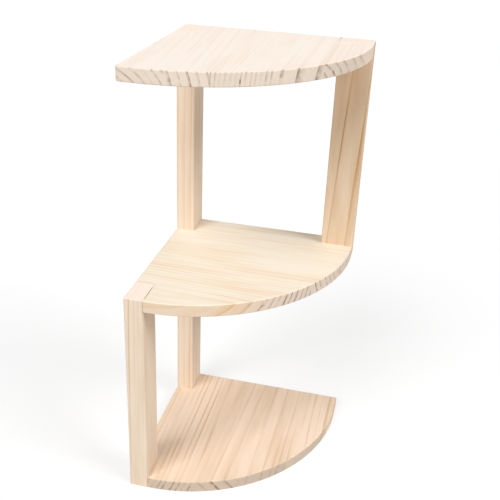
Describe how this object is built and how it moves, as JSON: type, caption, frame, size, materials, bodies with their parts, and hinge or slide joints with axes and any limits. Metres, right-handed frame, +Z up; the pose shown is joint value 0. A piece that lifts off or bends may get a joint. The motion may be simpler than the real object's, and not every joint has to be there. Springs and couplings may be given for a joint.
{
  "type": "corner shelf",
  "caption": "Free-standing corner shelf: quarter-round pine boards on a full-height back post and staggered half-height uprights, open at the front for small things.",
  "frame": {"origin": "on the floor, under the centre of the 200 mm square that the quarter-round boards fit in", "axes": "+X runs along the back wall away from the room's corner, +Y points into the back wall, +Z is up"},
  "size_m": [0.2, 0.2, 0.46],
  "materials": {
    "top_board_pine": "planed and sanded, unfinished",
    "middle_board_pine": "planed and sanded, unfinished",
    "bottom_board_pine": "planed and sanded, unfinished",
    "back_post_pine": "planed and sanded, unfinished",
    "left_upright_pine": "planed and sanded, unfinished",
    "right_upright_pine": "planed and sanded, unfinished",
    "screw_zinc": "zinc plated"
  },
  "bodies": {
    "root": {"top_shelf": "top_board_pine", "middle_shelf": "middle_board_pine", "bottom_shelf": "bottom_board_pine", "back_post": "back_post_pine", "left_upright": "left_upright_pine", "right_upright": "right_upright_pine", "back_post_screws": "screw_zinc", "left_upright_screws": "screw_zinc", "right_upright_screws": "screw_zinc"}
  },
  "joints": []
}
